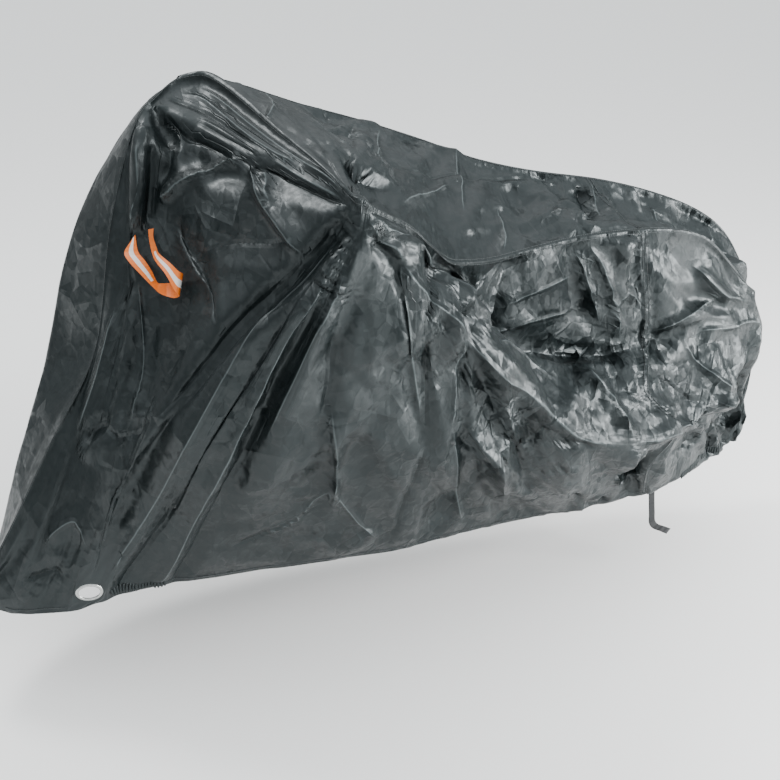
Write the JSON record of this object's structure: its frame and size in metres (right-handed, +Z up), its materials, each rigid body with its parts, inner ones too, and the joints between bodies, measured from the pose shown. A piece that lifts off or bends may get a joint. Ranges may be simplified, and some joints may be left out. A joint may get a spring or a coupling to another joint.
{
  "type": "bicycle cover",
  "caption": "Draped weather cover for a bicycle: thin coated cloth in sewn panels with a level hem, pulled up by the handlebar, with a lock eyelet, a reflective loop and a tie strap.",
  "frame": {"origin": "underside of the top panel where the saddle carries the cover", "axes": "+X along the bicycle towards its rear wheel, +Y to the cover's right side, +Z up"},
  "size_m": [1.9897, 0.7563, 1.1558],
  "materials": {
    "coated_polyester": "thin plain-woven polyester with a slightly glossy coating, creased",
    "eyelet_strip_cloth": "doubled coated polyester",
    "plated_steel": "pressed and plated",
    "reflective_ribbon": "woven orange ribbon with a silver reflective stripe",
    "webbing": "flat woven webbing"
  },
  "bodies": {
    "root": {"left_panel": "coated_polyester", "left_rear_panel": "coated_polyester", "top_panel": "coated_polyester", "top_rear_panel": "coated_polyester", "right_panel": "coated_polyester", "right_rear_panel": "coated_polyester", "eyelet_strip": "eyelet_strip_cloth", "lock_eyelet": "plated_steel", "reflective_loop": "reflective_ribbon", "rear_strap": "webbing"}
  },
  "joints": []
}
